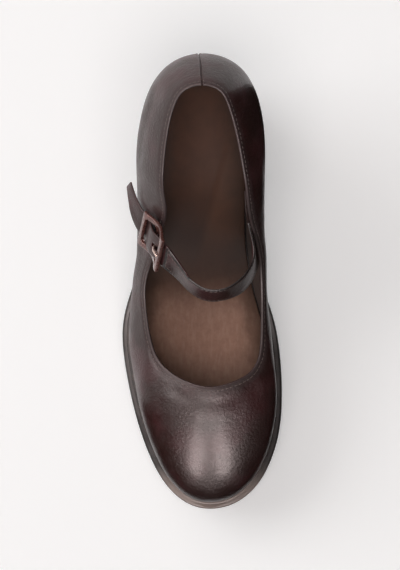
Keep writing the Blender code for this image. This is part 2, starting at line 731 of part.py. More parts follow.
def make_prong(material):
    """The pin: hooked round the centre bar, then up through the strap and onto the front bar."""
    radius = CENTRE_BAR * BAR_ROUND + GAP + PRONG_THICKNESS / 2
    over_strap = TAB_OUTER + 2 * GAP + STRAP_THICKNESS + PRONG_THICKNESS / 2
    on_bar = BUCKLE_DOME + BUCKLE_THICKNESS / 2 + GAP + PRONG_THICKNESS / 2
    line = [(radius * cos(radians(angle)), radius * sin(radians(angle))) for angle in range(270, 179, -30)]
    line += [(-END_BAR * 0.24, radius * 0.8), (-END_BAR * 0.40, over_strap * 0.75),
             (-END_BAR * 0.58, over_strap), (-END_BAR * 0.80, on_bar), (-END_BAR * 1.08, on_bar)]
    rings = []
    for index, (reach, out) in enumerate(line):
        before = line[max(index - 1, 0)]
        after = line[min(index + 1, len(line) - 1)]
        run = Vector((after[0] - before[0], after[1] - before[1])).normalized()
        last = index == len(line) - 1
        half_width = PRONG_WIDTH / 2 * (0.6 if last else 1.0)
        half_thick = PRONG_THICKNESS / 2 * (0.6 if last else 1.0)
        ring = []
        for side, lift in ((-1, -0.4), (-0.6, -1), (0.6, -1), (1, -0.4), (1, 0.4), (0.6, 1),
                           (-0.6, 1), (-1, 0.4)):
            up = lift * half_thick
            ring.append(buckle_point(reach - run.y * up, side * half_width, out + run.x * up))
        rings.append(ring + ring[:1])
    shape = bmesh.new()
    add_patch(shape, rings)
    for ring in (rings[0], rings[-1]):
        shape.faces.new([shape.verts.new(point) for point in ring[:-1]])
    finish_body("buckle_prong", shape, material, 50.0)


def make_tab(material):
    """Leather folded round the centre bar, with a slot for the prong and its legs on the quarter."""
    slot = PRONG_WIDTH / 2 + PRONG_SIDE_AIR
    sides = (-TAB_WIDTH / 2, -slot, slot, TAB_WIDTH / 2)
    top_of_legs = -TAB_OUTER + 2 * TAB_THICKNESS
    tail = {0: (TAB_LENGTH, (top_of_legs - TAB_OUTER) / 2), 1: (TAB_LENGTH, top_of_legs),
            2: (TAB_OUTER * 1.9, top_of_legs), TAB_TURNS - 1: (TAB_LENGTH, -TAB_OUTER),
            TAB_TURNS - 2: (TAB_OUTER * 1.5, -TAB_OUTER)}
    outer, inner = [], []
    for turn in range(TAB_TURNS):
        angle = 2 * pi * turn / TAB_TURNS
        reach, out = tail.get(turn, (TAB_OUTER * cos(angle), TAB_OUTER * sin(angle)))
        outer.append([buckle_point(reach, side, out) for side in sides])
        inner.append([buckle_point(TAB_INNER * cos(angle), side, TAB_INNER * sin(angle))
                      for side in sides])
    slot_cells = {(turn, 1) for turn in range(3, TAB_TURNS - 2)}
    shape = bmesh.new()
    add_shell(shape, outer, inner, wrap=True, holes=slot_cells)
    finish_body("buckle_tab", shape, material, 50.0)


def clear_scene():
    for item in list(bpy.data.objects):
        bpy.data.objects.remove(item, do_unlink=True)


def main():
    clear_scene()
    leather = make_material("dark brown box calf", "2E1E1B", 0.38)
    suede = make_material("brown lining leather", "4A372E", 0.75)
    rubber = make_material("black rubber", "1C1817", 0.55)
    stack = make_material("stained sole edge", "2A211D", 0.5)
    covered = make_material("covered buckle", "5A3833", 0.35)
    metal = make_material("pale plated steel", "C9B4AC", 0.25, 1.0)
    make_outsole(rubber)
    make_midsole(stack)
    make_welt(stack)
    make_upper(leather)
    make_insole(suede)
    make_heel(stack, rubber)
    make_strap(leather)
    make_buckle(covered)
    make_prong(metal)
    make_tab(leather)


main()
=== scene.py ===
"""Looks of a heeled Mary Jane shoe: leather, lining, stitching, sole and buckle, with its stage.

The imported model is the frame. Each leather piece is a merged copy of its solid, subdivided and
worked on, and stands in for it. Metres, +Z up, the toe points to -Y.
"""

from collections import namedtuple
from math import exp, pi, radians

import bmesh
import bpy
from bpy.props import FloatProperty, FloatVectorProperty, PointerProperty
from bpy.types import Operator, Panel, PropertyGroup
from mathutils import Matrix, Vector
from mathutils.bvhtree import BVHTree
from mathutils.kdtree import KDTree


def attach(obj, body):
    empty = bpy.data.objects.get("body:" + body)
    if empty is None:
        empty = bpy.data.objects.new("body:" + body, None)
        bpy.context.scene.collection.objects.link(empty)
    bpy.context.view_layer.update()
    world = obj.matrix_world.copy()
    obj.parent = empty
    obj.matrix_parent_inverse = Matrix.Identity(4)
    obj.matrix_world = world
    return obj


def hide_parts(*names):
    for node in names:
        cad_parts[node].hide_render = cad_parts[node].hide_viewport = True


bl_info = {
    "name": "Heeled Mary Jane shoe",
    "version": (1, 0, 0),
    "blender": (4, 5, 0),
    "location": "View3D > Sidebar > Shoe",
    "description": "Leather, stitching, sole and buckle of a heeled Mary Jane shoe, with its stage",
    "category": "Object",
}

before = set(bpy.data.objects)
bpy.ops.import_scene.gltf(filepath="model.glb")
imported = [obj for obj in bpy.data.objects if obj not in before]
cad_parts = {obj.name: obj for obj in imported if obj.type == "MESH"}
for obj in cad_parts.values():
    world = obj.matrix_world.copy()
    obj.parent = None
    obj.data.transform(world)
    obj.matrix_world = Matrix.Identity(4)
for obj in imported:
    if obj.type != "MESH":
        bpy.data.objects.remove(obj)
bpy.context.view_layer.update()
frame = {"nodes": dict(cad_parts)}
NODES = frame["nodes"]
MM = 0.001
OUTSIDE = 0.2           # metres from the middle, clear of the shoe on every side
BACK = 95 * MM          # what lies behind this is the back of the upper
WALL = 0.3 * MM         # a point further than this from the outer face is on the lining
STITCH_LIFT = 0.14      # a stitch's middle stands off the leather by this share of its thickness
PATHS = {}              # lines found on one piece that another is sewn along


def linear(value):
    """Linear colour from sRGB hex."""
    parts = [int(value[i:i + 2], 16) / 255 for i in (0, 2, 4)]
    return tuple(part / 12.92 if part <= 0.04045 else ((part + 0.055) / 1.055) ** 2.4 for part in parts)


def size_property(name, description, default):
    return FloatProperty(name=name, description=description, default=default, min=0.0,
                         subtype="DISTANCE", unit="LENGTH")


def colour_property(name, description, value):
    return FloatVectorProperty(name=name, description=description, default=linear(value), size=3,
                               min=0.0, max=1.0, subtype="COLOR")


class ShoeUpperSettings(PropertyGroup):
    leather: colour_property("Leather", "Body colour of the polished box calf", "2C1512")
    leather_red: colour_property("Red depth", "Where the dye shows through the polish", "3E1B1D")
    lining: colour_property("Lining", "Leather lining inside the quarters", "33241D")
    thread: colour_property("Thread", "Waxed sewing thread", "5E453C")
    crease_depth: size_property("Crease depth", "Deepest of the soft folds", 0.45 * MM)
    fold_inset: size_property("Fold inset", "From the top edge to the row of stitches", 2.2 * MM)
    seam_depth: size_property("Seam depth", "Groove of the back seam", 0.80 * MM)
    seam_side: size_property("Seam place", "To the medial side, at 100 mm above the floor", 2.2 * MM)
    seam_lean: FloatProperty(name="Seam lean", description="Sideways for each unit of height",
                             default=0.09)
    bead: size_property("Bead", "How far the folded edge stands proud", 0.20 * MM)
    groove: size_property("Groove", "How far the row of stitches sinks in", 0.32 * MM)


class ShoeStitchSettings(PropertyGroup):
    length: size_property("Stitch length", "Thread that shows between two holes", 1.9 * MM)
    pitch: size_property("Stitch pitch", "From one stitch to the next", 2.5 * MM)
    thickness: size_property("Thread thickness", "Width of the thread", 0.42 * MM)


class ShoeSoleSettings(PropertyGroup):
    insole: colour_property("Insole", "Suede sock under the forefoot", "A88472")
    # the heel end's darker colour is painted shade
    insole_heel_shaded: colour_property("Insole heel", "Smooth heel end of the sock", "643F2C")
    edge: colour_property("Sole edge", "Waxed and burnished sole edge", "1B1411")
    rubber: colour_property("Rubber", "Moulded outsole and top piece", "151110")
    stack: colour_property("Heel stack", "Stained layers of the heel block", "2C1F1A")


class ShoeBuckleSettings(PropertyGroup):
    frame: colour_property("Buckle", "Baked lacquer on the frame", "5A3833")
    prong: colour_property("Prong", "Plated steel pin", "D8C2B8")


class ShoeStageSettings(PropertyGroup):
    floor: colour_property("Floor", "Plain pale sweep", "EFF0F1")
    camera_height: size_property("Camera height", "Above the floor", 1.400)
    card_side: size_property("Card beside the shoe", "From the middle of the shoe", 0.060)
    card_front: size_property("Card before the toe", "From the middle of the shoe", 0.142)
    card_height: size_property("Card height", "Above the floor, on the medial side", 0.30)
    card_toe_height: size_property("Card height at the toe", "Above the floor", 0.050)
    camera_side: size_property("Camera to the medial side", "From the middle of the shoe", 0.04695)
    camera_toe: size_property("Camera towards the toe", "From the middle of the shoe", 0.0107)
    camera_aim: size_property("Camera aim", "Height of what it looks at, on the middle line", 0.045)


GROUPS = {
    "shoe_upper": ShoeUpperSettings,
    "shoe_stitch": ShoeStitchSettings,
    "shoe_sole": ShoeSoleSettings,
    "shoe_buckle": ShoeBuckleSettings,
    "shoe_stage": ShoeStageSettings,
}

# Section of the back seam: nearer to its line than this, in mm, this share of its depth outwards.
SEAM_SECTION = ((0.1, -1.0), (0.3, -0.5), (0.8, 0.25))
SEAM_CUTS = (-1.4, -0.7, -0.25, 0.0, 0.25, 0.7, 1.4)        # mm to each side of the seam's line

# Soft folds of the leather. "seen" says from where each point is laid on the surface: from above
# with (x, y), or from the lateral or medial side with (y, z), all in mm. depth is a share of
# crease_depth, and width is in mm.
Fold = namedtuple("Fold", "seen points depth width")
FOLDS = [
    Fold("above", [(-17, -53), (-8, -58), (2, -60.5), (12, -61), (21, -58.5), (28, -53)], 0.80, 3.0),
    Fold("above", [(-9, -62), (-6, -68), (-5, -75)], 0.30, 4.5),
    Fold("above", [(17, -65), (18, -70), (18, -77)], 0.30, 4.5),
    Fold("above", [(-24, -45), (-23, -52), (-20, -60)], 0.40, 3.6),
    Fold("above", [(27, -50), (30, -56), (31, -63)], 0.40, 3.6),
    Fold("lateral", [(-12, 28), (-20, 22), (-27, 17)], 0.60, 3.6),
    Fold("lateral", [(-2, 31), (-8, 24), (-13, 18)], 0.50, 3.6),
    Fold("lateral", [(22, 52), (17, 42), (14, 32)], 0.55, 4.0),
    Fold("lateral", [(98, 96), (80, 88), (58, 77), (38, 62)], 0.80, 5.0),
    Fold("lateral", [(96, 80), (82, 72), (70, 62)], 0.45, 5.0),
    Fold("medial", [(-12, 29), (-20, 22), (-27, 16)], 0.60, 3.6),
    Fold("medial", [(0, 33), (-6, 25), (-11, 18)], 0.50, 3.6),
    Fold("medial", [(98, 96), (80, 88), (58, 77), (40, 66)], 0.70, 5.0),
    Fold("medial", [(34, 56), (26, 46), (20, 36)], 0.50, 4.4),
]


def bell(far):
    """A smooth hump: 1 at 0, and next to nothing beyond 2."""
    return exp(-far * far)


def deselect_all():
    bpy.ops.object.select_all(action="DESELECT")


def make_active(piece):
    deselect_all()
    piece.select_set(True)
    bpy.context.view_layer.objects.active = piece


def select_faces(piece, wanted):
    """Select just the faces that pass a test, in object mode."""
    for items in (piece.data.vertices, piece.data.edges):
        items.foreach_set("select", [False] * len(items))
    faces = piece.data.polygons
    faces.foreach_set("select", [wanted(face) for face in faces])


def joined(pieces, name):
    """Several objects as one, with its place in its mesh."""
    deselect_all()
    for piece in pieces:
        piece.select_set(True)
    bpy.context.view_layer.objects.active = pieces[0]
    bpy.ops.object.join()
    bpy.ops.object.transform_apply(location=True, rotation=True, scale=True)
    whole = bpy.context.view_layer.objects.active
    whole.name = name
    return whole


def merged_copy(node, name):
    """A copy of a CAD node with its loose triangles merged into quads, at the same place."""
    make_active(NODES[node])
    bpy.ops.object.duplicate()
    piece = bpy.context.view_layer.objects.active
    piece.name = name
    piece.parent = None
    for key in [key for key in piece.keys() if key.startswith("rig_")]:
        del piece[key]
    piece.data.materials.clear()
    bpy.ops.object.mode_set(mode="EDIT")
    bpy.ops.mesh.select_all(action="SELECT")
    bpy.ops.mesh.remove_doubles(threshold=0.002 * MM)
    bpy.ops.mesh.customdata_custom_splitnormals_clear()
    bpy.ops.mesh.tris_convert_to_quads(face_threshold=radians(70), shape_threshold=radians(100))
    bpy.ops.object.mode_set(mode="OBJECT")
    return piece


def face_groups(shape, sharp):
    """Groups of faces that no edge sharper than an angle divides, largest area first."""
    shape.faces.ensure_lookup_table()
    shape.faces.index_update()
    waiting = [True] * len(shape.faces)
    groups = []
    for first in shape.faces:
        if not waiting[first.index]:
            continue
        waiting[first.index] = False
        group = [first]
        for face in group:
            for edge in face.edges:
                if edge.calc_face_angle(0.0) > sharp:
                    continue
                for other in edge.link_faces:
                    if waiting[other.index]:
                        waiting[other.index] = False
                        group.append(other)
        groups.append(group)
    return sorted(groups, key=lambda group: -sum(face.calc_area() for face in group))


def mean_height(line):
    return sum(place.z for place, _ in line) / len(line)


def border(group, rank=len):
    """The closed line round a group of faces that ranks highest: points, each with its way inwards."""
    inside = {face.index for face in group}
    steps = {}
    for face in group:
        for loop in face.loops:
            others = [other.index for other in loop.edge.link_faces if other.index != face.index]
            if others and others[0] in inside:
                continue
            start, end = loop.vert, loop.link_loop_next.vert
            along = (end.co - start.co).normalized()
            inwards = face.calc_center_median() - (start.co + end.co) / 2
            inwards -= along * inwards.dot(along)
            steps[start.index] = (end.index, start.co.copy(), inwards.normalized())
    lines = []
    while steps:
        at = min(steps)
        line = []
        before = None
        while at in steps:
            following, place, inwards = steps.pop(at)
            line.append((place, (inwards + (before or inwards)).normalized()))
            before = inwards
            at = following
        lines.append(line)
    return max(lines, key=rank)


def top_border(piece, sharp):
    """The closed line round the face of a strap or sock that looks up."""
    shape = bmesh.new()
    shape.from_mesh(piece.data)
    groups = face_groups(shape, sharp)[:2]
    upper = max(groups, key=lambda group: sum(face.normal.z * face.calc_area() for face in group))
    line = border(upper)
    shape.free()
    return line


def soften(piece, levels, sharp, crease):
    """Subdivide a piece, with its sharp edges held, and shade it smooth."""
    shape = bmesh.new()
    shape.from_mesh(piece.data)
    layer = shape.edges.layers.float.new("crease_edge")
    for edge in shape.edges:
        if edge.calc_face_angle(0.0) > sharp:
            edge[layer] = crease
    shape.to_mesh(piece.data)
    shape.free()
    make_active(piece)
    bpy.ops.object.modifier_add(type="SUBSURF")
    subdivision = piece.modifiers[-1]
    subdivision.levels = levels
    subdivision.render_levels = levels
    bpy.ops.object.modifier_apply(modifier=subdivision.name)
    bpy.ops.object.shade_smooth()


def break_edges(piece, width, sharp):
    """Round a piece's sharp edges off by a small width, as a sanded edge is, and shade it smooth."""
    make_active(piece)
    bpy.ops.object.modifier_add(type="BEVEL")
    rounding = piece.modifiers[-1]
    rounding.width = width
    rounding.segments = 2
    rounding.limit_method = "ANGLE"
    rounding.angle_limit = sharp
    bpy.ops.object.modifier_apply(modifier=rounding.name)
    bpy.ops.object.shade_smooth()
    bpy.ops.object.modifier_add(type="WEIGHTED_NORMAL")
    bpy.ops.object.modifier_apply(modifier=piece.modifiers[-1].name)


def surface_of(piece):
    """A search tree of the faces in the piece's first material."""
    points = [vert.co.copy() for vert in piece.data.vertices]
    faces = [list(face.vertices) for face in piece.data.polygons if face.material_index == 0]
    return BVHTree.FromPolygons(points, faces)


def evenly(points, pitch, closed):
    """Points at an even pitch along a smooth curve through the given ones, with directions."""
    count = len(points)
    fine = []
    last = count if closed else count - 1
    for index in range(last):
        four = range(index - 1, index + 3)
        near = [points[at % count if closed else min(max(at, 0), count - 1)] for at in four]
        for step in range(8):
            t = step / 8
            fine.append(0.5 * ((2 * near[1]) + (near[2] - near[0]) * t
                               + (2 * near[0] - 5 * near[1] + 4 * near[2] - near[3]) * t * t
                               + (3 * near[1] - near[0] - 3 * near[2] + near[3]) * t ** 3))
    fine.append(points[0] if closed else points[-1])
    total = sum((b - a).length for a, b in zip(fine, fine[1:]))
    number = max(int(round(total / pitch)), 1)
    spacing = total / number
    found = []
    walked = 0.0
    wanted = spacing / 2
    for a, b in zip(fine, fine[1:]):
        step = (b - a).length
        while walked + step >= wanted and len(found) < number:
            share = (wanted - walked) / max(step, 1e-9)
            found.append((a.lerp(b, share), (b - a).normalized()))
            wanted += spacing
        walked += step
    return found


def one_stitch(length, thickness):
    """A single stitch: a length of thread that dips into the leather at both ends."""
    deselect_all()
    bpy.ops.mesh.primitive_cylinder_add(vertices=8, radius=thickness / 2, depth=length,
                                        rotation=(0.0, pi / 2, 0.0))
    stitch = bpy.context.view_layer.objects.active
    bpy.ops.object.transform_apply(location=False, rotation=True, scale=False)
    bpy.ops.object.mode_set(mode="EDIT")
    for cut in (-0.3, 0.0, 0.3):
        bpy.ops.mesh.select_all(action="SELECT")
        bpy.ops.mesh.bisect(plane_co=(cut * length, 0.0, 0.0), plane_no=(1.0, 0.0, 0.0))
    bpy.ops.object.mode_set(mode="OBJECT")
    for vert in stitch.data.vertices:
        reach = abs(vert.co.x) / (length / 2)
        narrow = 1.0 - 0.45 * reach ** 3
        vert.co.y *= narrow
        vert.co.z = vert.co.z * narrow * 0.8 - thickness * 0.30 * reach * reach
    bpy.ops.object.shade_smooth()
    return stitch


def sew(name, path, surface, sizes, closed=True, keep_off=()):
    """A row of stitches along a path on a surface; none is sewn where another piece covers it."""
    stitch = one_stitch(sizes.length, sizes.thickness)
    copies = []
    for place, along in evenly(path, sizes.pitch, closed):
        spot, normal, _, _ = surface.find_nearest(place)
        if any(cover.find_nearest(spot, 0.9 * MM)[0] is not None for cover in keep_off):
            continue
        across = normal.cross(along).normalized()
        along = across.cross(normal).normalized()
        turned = Matrix((along, across, normal)).transposed().to_4x4()
        copy = stitch.copy()
        copy.data = stitch.data.copy()
        copy.matrix_world = Matrix.Translation(spot + normal * sizes.thickness * STITCH_LIFT) @ turned
        bpy.context.scene.collection.objects.link(copy)
        copies.append(copy)
    bpy.data.objects.remove(stitch)
    return joined(copies, name)


def finish_piece(piece, node=None):
    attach(piece, "root")
    if node:
        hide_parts(node)


# Materials

def add(tree, kind, values=None, out=0, **settings):
    """Add a node with its settings; a value that is a socket is linked. Returns one of its outputs."""
    node = tree.nodes.new(kind)
    for key, value in settings.items():
        setattr(node, key, value)
    for key, value in (values or {}).items():
        if isinstance(value, bpy.types.NodeSocket):
            tree.links.new(value, node.inputs[key])
        else:
            node.inputs[key].default_value = value
    return node.outputs[out]


def new_material(name, **fixed):
    """A Principled material with these fixed sockets; returns it with its tree, shader and place."""
    material = bpy.data.materials.new(name)
    material.use_nodes = True
    tree = material.node_tree
    shader = tree.nodes["Principled BSDF"]
    for key, value in fixed.items():
        shader.inputs[key.replace("_", " ")].default_value = value
    return material, tree, shader, add(tree, "ShaderNodeTexCoord", out="Object")


def connect(tree, shader, sockets):
    """Link what varies over the surface to the shader's sockets."""
    for key, value in sockets.items():
        tree.links.new(value, shader.inputs[key])


def solid(colour):
    return (*tuple(colour)[:3], 1.0)


def box_calf(name, colour, depth_colour, edge=None):
    """Box calf: full-grain leather, pigment dyed, plated smooth and polished with wax.

    To the eye: a near-black brown with red depth, a tight grain, and soft wide highlights. A folded
    edge is burnished, dulled by handling and worn light on its ridge, a colour that also stands as a
    painted highlight there; a cut edge is painted near black.
    """
    material, tree, shader, place = new_material(name, IOR=1.45, Specular_IOR_Level=0.42,
                                                 Coat_Weight=0.20, Coat_Roughness=0.22)
    cloud = add(tree, "ShaderNodeTexNoise", {"Vector": place, "Scale": 1 / (26 * MM), "Detail": 3.0})
    depth = add(tree, "ShaderNodeMapRange", {"Value": cloud, "From Min": 0.42, "From Max": 0.66},
                interpolation_type="SMOOTHSTEP")
    tone = add(tree, "ShaderNodeMix", {0: depth, 6: solid(colour), 7: solid(depth_colour)}, 2,
               data_type="RGBA")
    fleck = add(tree, "ShaderNodeTexNoise", {"Vector": place, "Scale": 1 / (1.6 * MM), "Detail": 4.0,
                                             "Roughness": 0.6})
    fleck = add(tree, "ShaderNodeMapRange", {"Value": fleck, "From Min": 0.45, "From Max": 0.75,
                                             "To Max": 0.12}, interpolation_type="SMOOTHSTEP")
    tone = add(tree, "ShaderNodeMix", {0: fleck, 6: tone, 7: solid(linear("4A3833"))}, 2,
               data_type="RGBA")
    polish = add(tree, "ShaderNodeTexNoise", {"Vector": place, "Scale": 1 / (9 * MM), "Detail": 3.0})
    polish = add(tree, "ShaderNodeMapRange", {"Value": polish, "From Min": 0.3, "From Max": 0.7,
                                              "To Min": 0.33, "To Max": 0.43},
                 interpolation_type="SMOOTHSTEP")
    if edge:
        rim = add(tree, "ShaderNodeAttribute", out="Fac", attribute_name="from_edge")
    if edge == "painted":
        paint = add(tree, "ShaderNodeMapRange", {"Value": rim, "From Min": 0.7 * MM, "From Max": 1.2 * MM,
                                                 "To Min": 0.9, "To Max": 0.0},
                    interpolation_type="SMOOTHSTEP")
        tone = add(tree, "ShaderNodeMix", {0: paint, 6: tone, 7: solid(linear("150E0D"))}, 2,
                   data_type="RGBA")
    if edge == "folded":
        burnish = add(tree, "ShaderNodeMapRange", {"Value": rim, "From Min": 0.6 * MM, "From Max": 6 * MM,
                                                   "To Min": 0.65, "To Max": 0.0},
                      interpolation_type="SMOOTHSTEP")
        tone = add(tree, "ShaderNodeMix", {0: burnish, 6: tone, 7: solid(linear("260F10"))}, 2,
                   data_type="RGBA")
        # paler on the ridge: worn, and also a painted highlight
        wear_and_highlight = add(tree, "ShaderNodeMapRange", {"Value": rim, "From Min": 0.0, "From Max": 0.7 * MM,
                                                "To Min": 0.12, "To Max": 0.0},
                   interpolation_type="SMOOTHSTEP")
        tone = add(tree, "ShaderNodeMix", {0: wear_and_highlight, 6: tone, 7: solid(linear("62423A"))}, 2,
                   data_type="RGBA")
        handled = add(tree, "ShaderNodeMapRange", {"Value": rim, "From Min": 1 * MM, "From Max": 6.5 * MM,
                                                   "To Min": 0.24, "To Max": 0.0},
                      interpolation_type="SMOOTHSTEP")
        polish = add(tree, "ShaderNodeMath", {0: polish, 1: handled}, operation="ADD")
    soft = add(tree, "ShaderNodeTexNoise", {"Vector": place, "Scale": 1 / (6 * MM)})
    # real grain of about 0.3 mm would not show, so the coarser layer is drawn at 1.5 mm
    grain = add(tree, "ShaderNodeTexNoise", {"Vector": place, "Scale": 1 / (1.5 * MM), "Detail": 4.0,
                                             "Roughness": 0.65})
    cells = add(tree, "ShaderNodeTexVoronoi", {"Vector": place, "Scale": 1 / (0.5 * MM)},
                feature="DISTANCE_TO_EDGE")
    relief = add(tree, "ShaderNodeBump", {"Height": soft, "Strength": 0.25, "Distance": 0.25 * MM})
    relief = add(tree, "ShaderNodeBump", {"Height": grain, "Strength": 0.90, "Distance": 0.32 * MM,
                                          "Normal": relief})
    relief = add(tree, "ShaderNodeBump", {"Height": cells, "Strength": 0.3, "Distance": 0.10 * MM,
                                          "Normal": relief})
    connect(tree, shader, {"Base Color": tone, "Roughness": polish, "Normal": relief})
    return material


def lining_leather(colour):
    """Pigskin or goat lining: thin vegetable-tanned leather, uncoated, so matt with open pores."""
    material, tree, shader, place = new_material("lining leather", IOR=1.45, Roughness=0.72)
    patches = add(tree, "ShaderNodeTexNoise", {"Vector": place, "Scale": 1 / (8 * MM), "Detail": 4.0})
    tone = add(tree, "ShaderNodeMix", {0: patches, 6: solid(colour), 7: solid(linear("46342B"))}, 2,
               data_type="RGBA")
    pores = add(tree, "ShaderNodeTexVoronoi", {"Vector": place, "Scale": 1 / (1.1 * MM)})
    relief = add(tree, "ShaderNodeBump", {"Height": pores, "Strength": 0.25, "Distance": 0.10 * MM})
    connect(tree, shader, {"Base Color": tone, "Normal": relief})
    return material


def waxed_thread(name, colour):
    """Waxed polyester thread: plied yarn with a dull sheen, a shade lighter than the leather."""
    material, tree, shader, place = new_material(name, IOR=1.5, Roughness=0.5, Sheen_Weight=0.2)
    wax = add(tree, "ShaderNodeTexNoise", {"Vector": place, "Scale": 1 / (0.8 * MM)})
    tone = add(tree, "ShaderNodeMix", {0: wax, 6: solid(colour), 7: solid(linear("2E1F1B"))}, 2,
               data_type="RGBA")
    ply = add(tree, "ShaderNodeTexWave", {"Vector": place, "Scale": 1 / (1.2 * MM), "Distortion": 0.5},
              "Fac", bands_direction="DIAGONAL")
    relief = add(tree, "ShaderNodeBump", {"Height": ply, "Strength": 0.4, "Distance": 0.05 * MM})
    connect(tree, shader, {"Base Color": tone, "Normal": relief})
    return material


def suede_sock(colour, shaded_heel_colour):
    """Sock of brushed leather: a soft nap that scatters light, smoothed flat under the heel; painted
    shade darkens the heel end, the waist and the walls, and a painted highlight lies on a pad's edge.
    """
    material, tree, shader, place = new_material("suede sock", IOR=1.35, Specular_IOR_Level=0.2,
                                                 Sheen_Weight=0.06, Sheen_Roughness=0.5)
    forward = add(tree, "ShaderNodeSeparateXYZ", {"Vector": place}, "Y")
    pressed_and_shaded_heel = add(tree, "ShaderNodeMapRange", {"Value": forward, "From Min": -12 * MM,
                                               "From Max": 26 * MM}, interpolation_type="SMOOTHSTEP")

    # the napped forefoot, brushed along its length
    nap = add(tree, "ShaderNodeTexNoise", {"Vector": place, "Scale": 1 / (3.2 * MM), "Detail": 5.0,
                                           "Roughness": 0.65})
    brushed = add(tree, "ShaderNodeMix", {0: nap, 6: solid(colour), 7: solid(linear("86665A"))}, 2,
                  data_type="RGBA")
    lengthwise = add(tree, "ShaderNodeVectorMath", {0: place, 1: (1.0, 0.28, 1.0)}, operation="MULTIPLY")
    streak = add(tree, "ShaderNodeTexNoise", {"Vector": lengthwise, "Scale": 1 / (2 * MM),
                                              "Detail": 3.0})
    pale = add(tree, "ShaderNodeMapRange", {"Value": streak, "From Min": 0.4, "From Max": 0.75,
                                            "To Max": 0.22}, interpolation_type="SMOOTHSTEP")
    brushed = add(tree, "ShaderNodeMix", {0: pale, 6: brushed, 7: solid(linear("BE9F8C"))}, 2,
                  data_type="RGBA")

    # the heel end, smoothed flat and darkened by painted shade, and a painted shadow of the strap and
    # instep over the arch between the two
    worn = add(tree, "ShaderNodeTexNoise", {"Vector": place, "Scale": 1 / (14 * MM), "Detail": 3.0})
    smooth = add(tree, "ShaderNodeMix", {0: worn, 6: solid(shaded_heel_colour), 7: solid(linear("4A2E20"))}, 2,
                 data_type="RGBA")
    # the heel end takes the darker colour: painted shade on leather smoothed flat
    tone = add(tree, "ShaderNodeMix", {0: pressed_and_shaded_heel, 6: brushed, 7: smooth}, 2, data_type="RGBA")
    # painted shadow of the strap and instep across the arch
    rise = add(tree, "ShaderNodeMapRange", {"Value": forward, "From Min": -18 * MM, "From Max": 8 * MM},
               interpolation_type="SMOOTHSTEP")
    fall = add(tree, "ShaderNodeMapRange", {"Value": forward, "From Min": 28 * MM, "From Max": 66 * MM,
                                            "To Min": 0.75, "To Max": 0.0},
               interpolation_type="SMOOTHSTEP")
    arch_painted_shadow = add(tree, "ShaderNodeMath", {0: rise, 1: fall}, operation="MULTIPLY")
    tone = add(tree, "ShaderNodeMix", {0: arch_painted_shadow, 6: tone, 7: solid(linear("38241B"))}, 2,
               data_type="RGBA")

    # the arch pad under the sock, raised by a bump, with a painted highlight along its slanting edge
    slant = add(tree, "ShaderNodeVectorMath", {0: place, 1: (1.0, -0.28, 0.0)}, "Value",
                operation="DOT_PRODUCT")
    step = add(tree, "ShaderNodeMapRange", {"Value": slant, "From Min": -8.5 * MM,
                                            "From Max": -3 * MM}, interpolation_type="SMOOTHSTEP")
    rise = add(tree, "ShaderNodeMapRange", {"Value": forward, "From Min": 6 * MM, "From Max": 26 * MM},
               interpolation_type="SMOOTHSTEP")
    fall = add(tree, "ShaderNodeMapRange", {"Value": forward, "From Min": 66 * MM, "From Max": 92 * MM,
                                            "To Min": 1.0, "To Max": 0.0},
               interpolation_type="SMOOTHSTEP")
    length = add(tree, "ShaderNodeMath", {0: rise, 1: fall}, operation="MULTIPLY")
    pad = add(tree, "ShaderNodeMath", {0: step, 1: length}, operation="MULTIPLY")
    pad_painted_highlight = add(tree, "ShaderNodeMath", {0: pad, 1: 0.35}, operation="MULTIPLY")
    tone = add(tree, "ShaderNodeMix", {0: pad_painted_highlight, 6: tone, 7: solid(linear("6E4A36"))}, 2,
               data_type="RGBA")

    # painted shade where the sock runs under the upper, with an uneven border
    rim = add(tree, "ShaderNodeAttribute", out="Fac", attribute_name="from_edge")
    patches = add(tree, "ShaderNodeTexNoise", {"Vector": place, "Scale": 1 / (11 * MM), "Detail": 4.0})
    patches = add(tree, "ShaderNodeMath", {0: patches, 1: 14 * MM, 2: -7 * MM},
                  operation="MULTIPLY_ADD")
    wall = add(tree, "ShaderNodeMath", {0: rim, 1: patches}, operation="ADD")
    shade = add(tree, "ShaderNodeMapRange", {"Value": wall, "From Min": 0.0, "From Max": 15 * MM,
                                             "To Min": 0.72, "To Max": 0.0},
                interpolation_type="SMOOTHSTEP")
    tone = add(tree, "ShaderNodeMix", {0: shade, 6: tone, 7: solid(linear("3A2A20"))}, 2,
               data_type="RGBA")

    dull = add(tree, "ShaderNodeMapRange", {"Value": pressed_and_shaded_heel, "From Min": 0.0, "From Max": 1.0,
                                            "To Min": 0.92, "To Max": 0.62},
               interpolation_type="SMOOTHSTEP")
    fuzz = add(tree, "ShaderNodeTexNoise", {"Vector": place, "Scale": 1 / (0.9 * MM), "Detail": 4.0,
                                            "Roughness": 0.7})
    relief = add(tree, "ShaderNodeBump", {"Height": pad, "Strength": 0.6, "Distance": 1.6 * MM})
    relief = add(tree, "ShaderNodeBump", {"Height": streak, "Strength": 0.3, "Distance": 0.15 * MM,
                                          "Normal": relief})
    relief = add(tree, "ShaderNodeBump", {"Height": fuzz, "Strength": 0.45, "Distance": 0.12 * MM,
                                          "Normal": relief})
    connect(tree, shader, {"Base Color": tone, "Roughness": dull, "Normal": relief})
    return material


